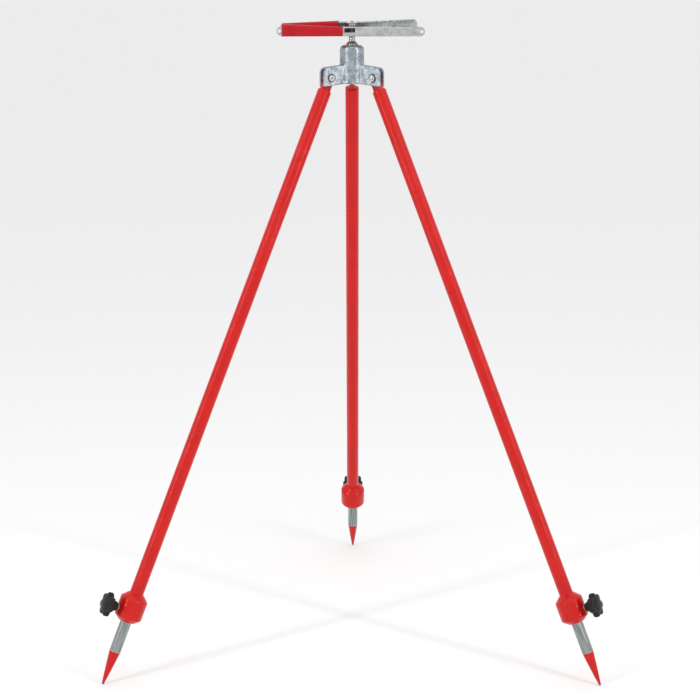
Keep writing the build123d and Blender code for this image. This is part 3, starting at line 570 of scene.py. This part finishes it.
# %% Making pieces from the CAD nodes
def applied(piece):
    """The piece's mesh with its modifiers worked in."""
    depsgraph = bpy.context.evaluated_depsgraph_get()
    mesh = bpy.data.meshes.new_from_object(piece.evaluated_get(depsgraph))
    bpy.data.objects.remove(piece)
    return mesh


def welded_copy(node, name):
    """A copy of a CAD node's mesh, welded along its seams and cleared of flat triangles."""
    mesh = frame["nodes"][node].data.copy()
    build = bmesh.new()
    build.from_mesh(mesh)
    bmesh.ops.remove_doubles(build, verts=build.verts, dist=2e-6)
    bmesh.ops.dissolve_limit(build, angle_limit=math.radians(0.6), verts=build.verts,
                             edges=build.edges, delimit=set())
    build.to_mesh(mesh)
    build.free()
    copy = bpy.data.objects.new(name, mesh)
    scene.collection.objects.link(copy)
    return copy


def bevelled_copy(node, name, finish, width, segments=2):
    """The CAD shape with its sharp edges broken by a narrow bevel."""
    copy = welded_copy(node, name + "_raw")
    bevel = copy.modifiers.new("bevel", "BEVEL")
    bevel.width = width
    bevel.segments = segments
    bevel.limit_method = "ANGLE"
    bevel.angle_limit = math.radians(32)
    bevel.harden_normals = False
    return place_mesh(name, applied(copy), finish)


def melted_copy(node, name, finish, cell, smoothing):
    """The CAD shape rebuilt from small cells and smoothed, for cast and dipped pieces."""
    copy = welded_copy(node, name + "_raw")
    remesh = copy.modifiers.new("cells", "REMESH")
    remesh.mode = "VOXEL"
    remesh.voxel_size = cell
    smooth = copy.modifiers.new("smooth", "SMOOTH")
    smooth.factor = 0.5
    smooth.iterations = smoothing
    return place_mesh(name, applied(copy), finish, sharp=180.0)


def fit_piece(piece, body, slot, *nodes):
    """Says which body a piece moves with and what it stands for. The slot, which would name its finish, is
    not used.
    """
    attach(piece, body)
    if nodes:
        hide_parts(*nodes)
    print(f"{piece.name}: {len(piece.data.polygons)} faces on {body}")
    return piece


# %% [markdown]
# ## The leg tubes
#
# Each leg is a thin-walled steel tube with square-cut ends. Paint gathers on the cut rims
# and rounds them, so the profile has eased corners. The wall is real, because a look up
# into the head shows it.

# %% Leg tubes
TUBE_WALL = 1.0 * MM

for side in SIDES:
    hinge, down, out = leg_lines(side)
    start, end, radius = span(f"leg_tube_{side}", hinge, down)
    wall = [(radius - TUBE_WALL, start), (radius, start), (radius, end), (radius - TUBE_WALL, end)]
    tube = turned(f"painted_tube_{side}", ease(wall, 0.5 * MM, closed=True), hinge, down, -out,
                  ENAMEL, closed=True)
    fit_piece(tube, f"leg_{side}", "red_paint", f"leg_tube_{side}")

# %% [markdown]
# ## The clamping collars
#
# A turned collar is pressed and brazed on the foot of each tube. It has a cone at each end
# and thick paint, which fills the corner where it meets the tube with a small fillet.

# %% Collars
CONE_TOP = 9.0 * MM
CONE_FOOT = 7.5 * MM
LIP = 1.5 * MM
FOOT_RADIUS = 13.0 * MM
ROD_GAP = 0.3 * MM

for side in SIDES:
    hinge, down, out = leg_lines(side)
    start, end, radius = span(f"collar_{side}", hinge, down)
    tube_end, tube_radius = span(f"leg_tube_{side}", hinge, down)[1:]
    rod_radius = span(f"inner_rod_{side}", hinge, down)[2]
    fillet = [(tube_radius + 0.02 * MM, start - 1.6 * MM), (tube_radius + 0.4 * MM, start - 0.5 * MM),
              (tube_radius + LIP, start)]
    body = ease(
        [
            (tube_radius + LIP, start),
            (radius, start + CONE_TOP),
            (radius, end - CONE_FOOT),
            (FOOT_RADIUS, end),
            (rod_radius + ROD_GAP, end),
            (rod_radius + ROD_GAP, tube_end),
            (tube_radius + 0.02 * MM, tube_end),
        ],
        1.6 * MM,
        steps=4,
    )
    collar = turned(f"painted_collar_{side}", fillet + body[1:], hinge, down, -out, ENAMEL,
                    closed=True)
    fit_piece(collar, f"leg_{side}", "red_paint", f"collar_{side}")

# %% [markdown]
# ## Sliding rods and spikes
#
# A drawn, zinc-plated tube slides in each leg, and a forged spike is pressed and pinned
# into its end. The spike is painted over its cone only: a thin bare ring shows where it
# meets the rod. The cone bulges slightly, as a forged point does, and ends in a blunt tip.

# %% Rods and spikes
ROD_WALL = 2.0 * MM
RING_LENGTH = 1.6 * MM
TIP_RADIUS = 1.8 * MM
CONE_BELLY = 0.63          # radius halfway down the cone, as a share of the rod's


def cone_profile(rod_radius, start, tip):
    """Radius and station down the painted cone, with a round tip."""
    points = []
    tip_start = tip - TIP_RADIUS
    steps = 18
    for step in range(steps + 1):
        t = step / steps
        swell = 4 * t * (1 - t) * (CONE_BELLY * rod_radius - (rod_radius + TIP_RADIUS) / 2)
        points.append((rod_radius * (1 - t) + TIP_RADIUS * t + swell, start + (tip_start - start) * t))
    for step in range(1, 7):
        turn = math.pi / 2 * step / 6
        points.append((TIP_RADIUS * math.cos(turn) if step < 6 else 0.0,
                       tip_start + TIP_RADIUS * math.sin(turn)))
    return points


for side in SIDES:
    hinge, down, out = leg_lines(side)
    start, end, radius = span(f"inner_rod_{side}", hinge, down)
    wall = [(radius - ROD_WALL, start), (radius, start), (radius, end), (radius - ROD_WALL, end)]
    rod = turned(f"sliding_rod_{side}", ease(wall, 0.4 * MM, closed=True), hinge, down, -out,
                 DRAWN, closed=True)
    fit_piece(rod, f"inner_leg_{side}", "galvanised_rod", f"inner_rod_{side}")

    shank_start, tip = span(f"spike_{side}", hinge, down)[:2]
    shank_radius = radius - ROD_WALL - 0.05 * MM
    ring = ease(
        [(0.0, shank_start), (shank_radius, shank_start), (shank_radius, end), (radius, end),
         (radius, end + RING_LENGTH), (0.0, end + RING_LENGTH)],
        0.25 * MM,
    )
    shank = turned(f"spike_shank_{side}", ring, hinge, down, -out, FASTENER)
    fit_piece(shank, f"inner_leg_{side}", "zinc_plate", f"spike_{side}")
    cone = cone_profile(radius, end + RING_LENGTH, tip)
    point = turned(f"painted_spike_{side}", [(0.0, end + RING_LENGTH)] + cone, hinge, down, -out,
                   WORN_ENAMEL)
    fit_piece(point, f"inner_leg_{side}", "red_paint", f"spike_{side}")

# %% [markdown]
# ## Star knobs
#
# The clamping knob is moulded: a lobed disc that fingers can turn, a boss behind it, and a
# slightly domed face. Its outline is a formula, a circle whose radius swells seven times
# round, and the disc is that outline drawn in at the edges to round them.

# %% Star knobs
LOBES = 7
LOBE_RADIUS = 19.4 * MM
VALLEY_RADIUS = 15.6 * MM
NECK_START = 24.0 * MM     # distances out from the leg's line
NECK_RADIUS = 5.5 * MM
BOSS_START = 28.0 * MM
BOSS_RADIUS = 8.0 * MM
DISC_START = 37.0 * MM
RIM_END = 46.3 * MM
FACE_END = 48.4 * MM
FACE_RADIUS = 9.5 * MM
KNOB_STEPS = 168


def star(turn, inset):
    """Radius of the knob's outline, drawn in by an inset."""
    lobe = abs(math.cos(LOBES * turn / 2)) ** 1.3
    return VALLEY_RADIUS + (LOBE_RADIUS - VALLEY_RADIUS) * lobe - inset


def knob_mesh(name, centre, out, up):
    """Rings from the neck to the face. Each has a height, then a radius or an inset."""
    third = out.cross(up)
    rings = [
        (NECK_START, NECK_RADIUS - 0.6 * MM, None), (NECK_START + 0.5 * MM, NECK_RADIUS, None),
        (BOSS_START - 0.8 * MM, BOSS_RADIUS - 0.5 * MM, None), (BOSS_START + 0.6 * MM, BOSS_RADIUS, None),
        (DISC_START - 1.2 * MM, BOSS_RADIUS + 0.1 * MM, None),
        (DISC_START - 0.3 * MM, BOSS_RADIUS + 0.7 * MM, None),
        (DISC_START, BOSS_RADIUS + 1.8 * MM, None),
        (DISC_START, None, 3.2 * MM), (DISC_START + 0.3 * MM, None, 1.8 * MM),
        (DISC_START + 0.9 * MM, None, 0.7 * MM), (DISC_START + 1.9 * MM, None, 0.1 * MM),
        (DISC_START + 3.4 * MM, None, 0.0), (RIM_END - 3.2 * MM, None, 0.0),
        (RIM_END - 1.8 * MM, None, 0.15 * MM), (RIM_END - 0.8 * MM, None, 0.8 * MM),
        (RIM_END - 0.2 * MM, None, 1.9 * MM), (RIM_END + 0.2 * MM, None, 3.4 * MM),
        (RIM_END + 0.5 * MM, FACE_RADIUS + 1.6 * MM, None), (FACE_END - 0.7 * MM, FACE_RADIUS, None),
        (FACE_END - 0.15 * MM, FACE_RADIUS * 0.72, None), (FACE_END, FACE_RADIUS * 0.3, None),
    ]
    build = bmesh.new()
    loops = []
    for height, radius, inset in rings:
        ring = []
        for step in range(KNOB_STEPS):
            turn = 2 * math.pi * step / KNOB_STEPS
            reach = radius if inset is None else star(turn, inset)
            spoke = up * math.cos(turn) + third * math.sin(turn)
            ring.append(build.verts.new(centre + out * height + spoke * reach))
        loops.append(ring)
    for low, high in zip(loops, loops[1:]):
        for step in range(KNOB_STEPS):
            after = (step + 1) % KNOB_STEPS
            build.faces.new((low[step], low[after], high[after], high[step]))
    build.faces.new(loops[0])
    build.faces.new(loops[-1])
    bmesh.ops.recalc_face_normals(build, faces=build.faces)
    mesh = bpy.data.meshes.new(name)
    build.to_mesh(mesh)
    build.free()
    return mesh


for side in SIDES:
    hinge, down, out = leg_lines(side)
    centre = Vector(joints[f"knob_{side}_turn"]["pos_m"])
    knob = place_mesh(f"moulded_knob_{side}", knob_mesh(f"moulded_knob_{side}", centre, out, -down),
                      KNOB_BLACK, sharp=50.0)
    fit_piece(knob, f"knob_{side}", "knob_plastic", f"star_knob_{side}")

# %% [markdown]
# ## Clamp screws
#
# Each knob drives an M8 screw. The thread shows in the small gap behind the knob, and more
# of it shows as the knob is unscrewed, so it is a real ridge: the radius rises and falls
# once per turn while the ring of points climbs by the pitch.

# %% Threads
M8_PITCH = 1.25 * MM
THREAD_DEPTH = 0.6 * MM


def thread_mesh(name, origin, axis, radius, start, end, pitch, steps=32, per_pitch=6):
    """A right-hand thread from start to end along an axis, with flat ends."""
    side = axis.orthogonal().normalized()
    third = axis.cross(side)
    rows = int((end - start) / pitch * per_pitch)
    build = bmesh.new()
    rings = []
    for row in range(rows + 1):
        height = start + (end - start) * row / rows
        ring = []
        for step in range(steps):
            phase = (height - start) / pitch - step / steps
            ridge = abs(2 * (phase - math.floor(phase)) - 1)
            fade = min(1.0, (height - start) / pitch, (end - height) / pitch)
            reach = radius - THREAD_DEPTH + THREAD_DEPTH * ridge * fade
            turn = 2 * math.pi * step / steps
            spoke = side * math.cos(turn) + third * math.sin(turn)
            ring.append(build.verts.new(origin + axis * height + spoke * reach))
        rings.append(ring)
    for low, high in zip(rings, rings[1:]):
        for step in range(steps):
            after = (step + 1) % steps
            build.faces.new((low[step], low[after], high[after], high[step]))
    build.faces.new(rings[0])
    build.faces.new(rings[-1])
    bmesh.ops.recalc_face_normals(build, faces=build.faces)
    mesh = bpy.data.meshes.new(name)
    build.to_mesh(mesh)
    build.free()
    return mesh


for side in SIDES:
    centre = Vector(joints[f"knob_{side}_turn"]["pos_m"])
    out = leg_lines(side)[2]
    start, end, radius = span(f"clamp_screw_{side}", centre, out)
    thread = thread_mesh(f"screw_thread_{side}", centre, out, radius, start + 2 * MM,
                         NECK_START + 3 * MM, M8_PITCH)
    screw = place_mesh(f"screw_thread_{side}", thread, FASTENER, sharp=180.0)
    fit_piece(screw, f"knob_{side}", "zinc_plate", f"clamp_screw_{side}")

# %% [markdown]
# ## The hinges
#
# A flat steel tongue, painted with the leg, is plugged into the top of each tube and held
# by a cross pin. It swings on a bolt between two ears of the head. These are cut and
# drilled pieces, so they keep their shape and only lose their sharp edges.

# %% Tongues, pins, bolts and nuts
for side in SIDES:
    tongue = bevelled_copy(f"hinge_tongue_{side}", f"painted_tongue_{side}", ENAMEL, 0.9 * MM, 3)
    fit_piece(tongue, f"leg_{side}", "red_paint", f"hinge_tongue_{side}")
    pin = bevelled_copy(f"tongue_pin_{side}", f"painted_pin_{side}", ENAMEL, 0.5 * MM)
    fit_piece(pin, f"leg_{side}", "red_paint", f"tongue_pin_{side}")
    bolt = bevelled_copy(f"hinge_bolt_{side}", f"plated_bolt_{side}", FASTENER, 0.3 * MM)
    fit_piece(bolt, "head", "zinc_plate", f"hinge_bolt_{side}")
    nut = bevelled_copy(f"hinge_nut_{side}", f"plated_nut_{side}", FASTENER, 0.5 * MM)
    fit_piece(nut, "head", "zinc_plate", f"hinge_nut_{side}")
    spike_pin = bevelled_copy(f"spike_pin_{side}", f"plated_spike_pin_{side}", FASTENER, 0.2 * MM)
    fit_piece(spike_pin, f"inner_leg_{side}", "zinc_plate", f"spike_pin_{side}")

# %% [markdown]
# ## The head casting
#
# Molten alloy doesn't fill sharp corners, so every edge and every inside corner of a
# casting is round. The CAD shape is rebuilt from cells under a millimetre and smoothed,
# which does the same.

# %% Head casting
CASTING_CELL = 0.75 * MM

casting = melted_copy("head_casting", "cast_head", CASTING, CASTING_CELL, 8)
fit_piece(casting, "head", "cast_zinc", "head_casting")

# %% [markdown]
# ## The ball stud
#
# The stud is turned from bar: a ball that sits in the head's cup, a shank, and a threaded
# end that carries the two arms and the nut. Turning leaves very fine rings, and the thread
# above the nut is the same kind of ridge as on the clamp screws.

# %% Ball stud
BALL_RADIUS = 11.0 * MM
SHANK_RADIUS = 5.0 * MM
PIVOT_RADIUS = 4.0 * MM
STUD_TIP_RADIUS = 3.0 * MM
STUD_TIP_LENGTH = 24.0 * MM        # from the arms' lowest face up to the stud's end
NUT_TOP = 20.2 * MM
M6_PITCH = 1.0 * MM
UP = Vector((0.0, 0.0, 1.0))
RIGHT = Vector((1.0, 0.0, 0.0))

ball_centre = Vector(joints["stud_tilt"]["pos_m"])
clamp_centre = Vector(joints["clamp_swivel"]["pos_m"])
rise = clamp_centre.z - ball_centre.z
neck_turn = math.acos(SHANK_RADIUS / BALL_RADIUS)
ball_profile = [(0.0, -BALL_RADIUS)]
for step in range(1, 25):
    turn = -math.pi / 2 + (neck_turn + math.pi / 2) * step / 24
    ball_profile.append((BALL_RADIUS * math.cos(turn), BALL_RADIUS * math.sin(turn)))
stem = ease(
    [
        ball_profile[-1],
        (SHANK_RADIUS, rise - 0.1 * MM),
        (PIVOT_RADIUS, rise - 0.1 * MM),
        (PIVOT_RADIUS, rise + NUT_TOP),
        (STUD_TIP_RADIUS - 0.7 * MM, rise + NUT_TOP),
        (0.0, rise + NUT_TOP),
    ],
    0.4 * MM,
)
stud = turned("turned_stud", ball_profile + stem[1:], ball_centre, UP, RIGHT, TURNED)
fit_piece(stud, "stud", "turned_steel", "ball_stud")
tip_thread = thread_mesh("stud_thread", clamp_centre, UP, STUD_TIP_RADIUS, NUT_TOP - 0.5 * MM,
                         STUD_TIP_LENGTH, M6_PITCH)
stud_thread = place_mesh("stud_thread", tip_thread, TURNED, sharp=180.0)
fit_piece(stud_thread, "stud", "turned_steel", "ball_stud")

# %% [markdown]
# ## The two arms
#
# Each arm is a strip of sheet steel, blanked, notched for the pole and folded into a
# channel. Blanking leaves crisp edges that plating softens a little, so the copies only get
# a narrow bevel.

# %% Arms, nut and spacer
for node, name, body in (("front_arm", "pressed_front_arm", "clamp"),
                         ("rear_arm", "pressed_rear_arm", "rear_arm")):
    arm = bevelled_copy(node, name, SHEET, 0.35 * MM)
    fit_piece(arm, body, "arm_plate", node)

nut = bevelled_copy("pivot_nut", "plated_pivot_nut", FASTENER, 0.5 * MM, 3)
fit_piece(nut, "stud", "zinc_plate", "pivot_nut")
spacer = bevelled_copy("pivot_spacer", "plated_pivot_spacer", FASTENER, 0.3 * MM)
fit_piece(spacer, "clamp", "zinc_plate", "pivot_spacer")

# %% [markdown]
# ## Dipped grips
#
# The handles are dipped in liquid vinyl. It runs round every corner before it sets, so the
# grips have no sharp edge at all: the CAD sleeves are rebuilt from small cells and smoothed.

# %% Grip sleeves
VINYL_CELL = 0.6 * MM

for node, name, body in (("front_grip_sleeve", "dipped_front_grip", "clamp"),
                         ("rear_grip_sleeve", "dipped_rear_grip", "rear_arm")):
    grip = melted_copy(node, name, VINYL, VINYL_CELL, 6)
    fit_piece(grip, body, "red_vinyl", node)

# %% [markdown]
# ## The clamp spring
#
# A torsion spring sits round the spacer, and its two straight legs push the handles apart,
# which closes the jaws. Here it is one wire along one path: a leg, a coil and a leg. The
# real spring twists as the rear handle is squeezed, but this wire is built in place and
# moves with neither arm.

# %% Torsion spring
WIRE_RADIUS = 0.9 * MM
COIL_RADIUS = 8.4 * MM
COIL_BOTTOM = 5.45 * MM
COIL_TOP = 11.85 * MM
COIL_TURNS = 3
SPRING_LEG = 34.0 * MM
LEG_ANGLE = math.radians(74.3)
COIL_STEPS = 40


def spring_path():
    """Points down one leg, round the coil and out along the other leg."""
    sweep = 2 * math.pi * COIL_TURNS + 2 * LEG_ANGLE
    steps = int(COIL_STEPS * (COIL_TURNS + 1))
    coil = []
    for step in range(steps + 1):
        turn = -LEG_ANGLE + sweep * step / steps
        height = COIL_BOTTOM + (COIL_TOP - COIL_BOTTOM) * step / steps
        coil.append(Vector((COIL_RADIUS * math.cos(turn), COIL_RADIUS * math.sin(turn), height)))
    first = Vector((-math.sin(LEG_ANGLE), -math.cos(LEG_ANGLE), 0.0))
    last = Vector((-math.sin(LEG_ANGLE), math.cos(LEG_ANGLE), 0.0))
    legs_in = [coil[0] + first * SPRING_LEG * part / 8 for part in range(8, 0, -1)]
    legs_out = [coil[-1] + last * SPRING_LEG * part / 8 for part in range(1, 9)]
    return [clamp_centre + point for point in legs_in + coil + legs_out]


def wire_mesh(name, path, radius, steps=16):
    """A round wire along a path, with flat ends."""
    build = bmesh.new()
    rings = []
    for index, point in enumerate(path):
        before = path[max(index - 1, 0)]
        after = path[min(index + 1, len(path) - 1)]
        heading = (after - before).normalized()
        across = heading.cross(UP).normalized()
        over = across.cross(heading)
        ring = []
        for step in range(steps):
            turn = 2 * math.pi * step / steps
            ring.append(build.verts.new(point + (across * math.cos(turn) + over * math.sin(turn)) * radius))
        rings.append(ring)
    for low, high in zip(rings, rings[1:]):
        for step in range(steps):
            after = (step + 1) % steps
            build.faces.new((low[step], low[after], high[after], high[step]))
    build.faces.new(rings[0])
    build.faces.new(rings[-1])
    bmesh.ops.recalc_face_normals(build, faces=build.faces)
    mesh = bpy.data.meshes.new(name)
    build.to_mesh(mesh)
    build.free()
    return mesh


spring = place_mesh("wound_clamp_spring", wire_mesh("wound_clamp_spring", spring_path(), WIRE_RADIUS),
                    WIRE)
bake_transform(spring)
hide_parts("torsion_spring")
print(f"{spring.name}: {len(spring.data.polygons)} faces")

# %% [markdown]
# ## Hidden pieces
#
# The cup, its spring and plug, the guide sleeves, the stop bushes and the pressure pads are
# inside the head and the legs. Their CAD shapes are good enough, so they only get finishes.

# %% Finishes of the hidden pieces
HIDDEN = {"ball_cup": BUSH_BLACK, "cup_spring": WIRE, "retaining_plug": FASTENER}
for side in SIDES:
    HIDDEN[f"guide_sleeve_{side}"] = BUSH_BLACK
    HIDDEN[f"stop_bush_{side}"] = BUSH_BLACK
    HIDDEN[f"pressure_pad_{side}"] = PAD_NYLON
for node, finish in HIDDEN.items():
    mesh = frame["nodes"][node].data
    mesh.materials.clear()
    mesh.materials.append(finish)
print("hidden pieces", len(HIDDEN))
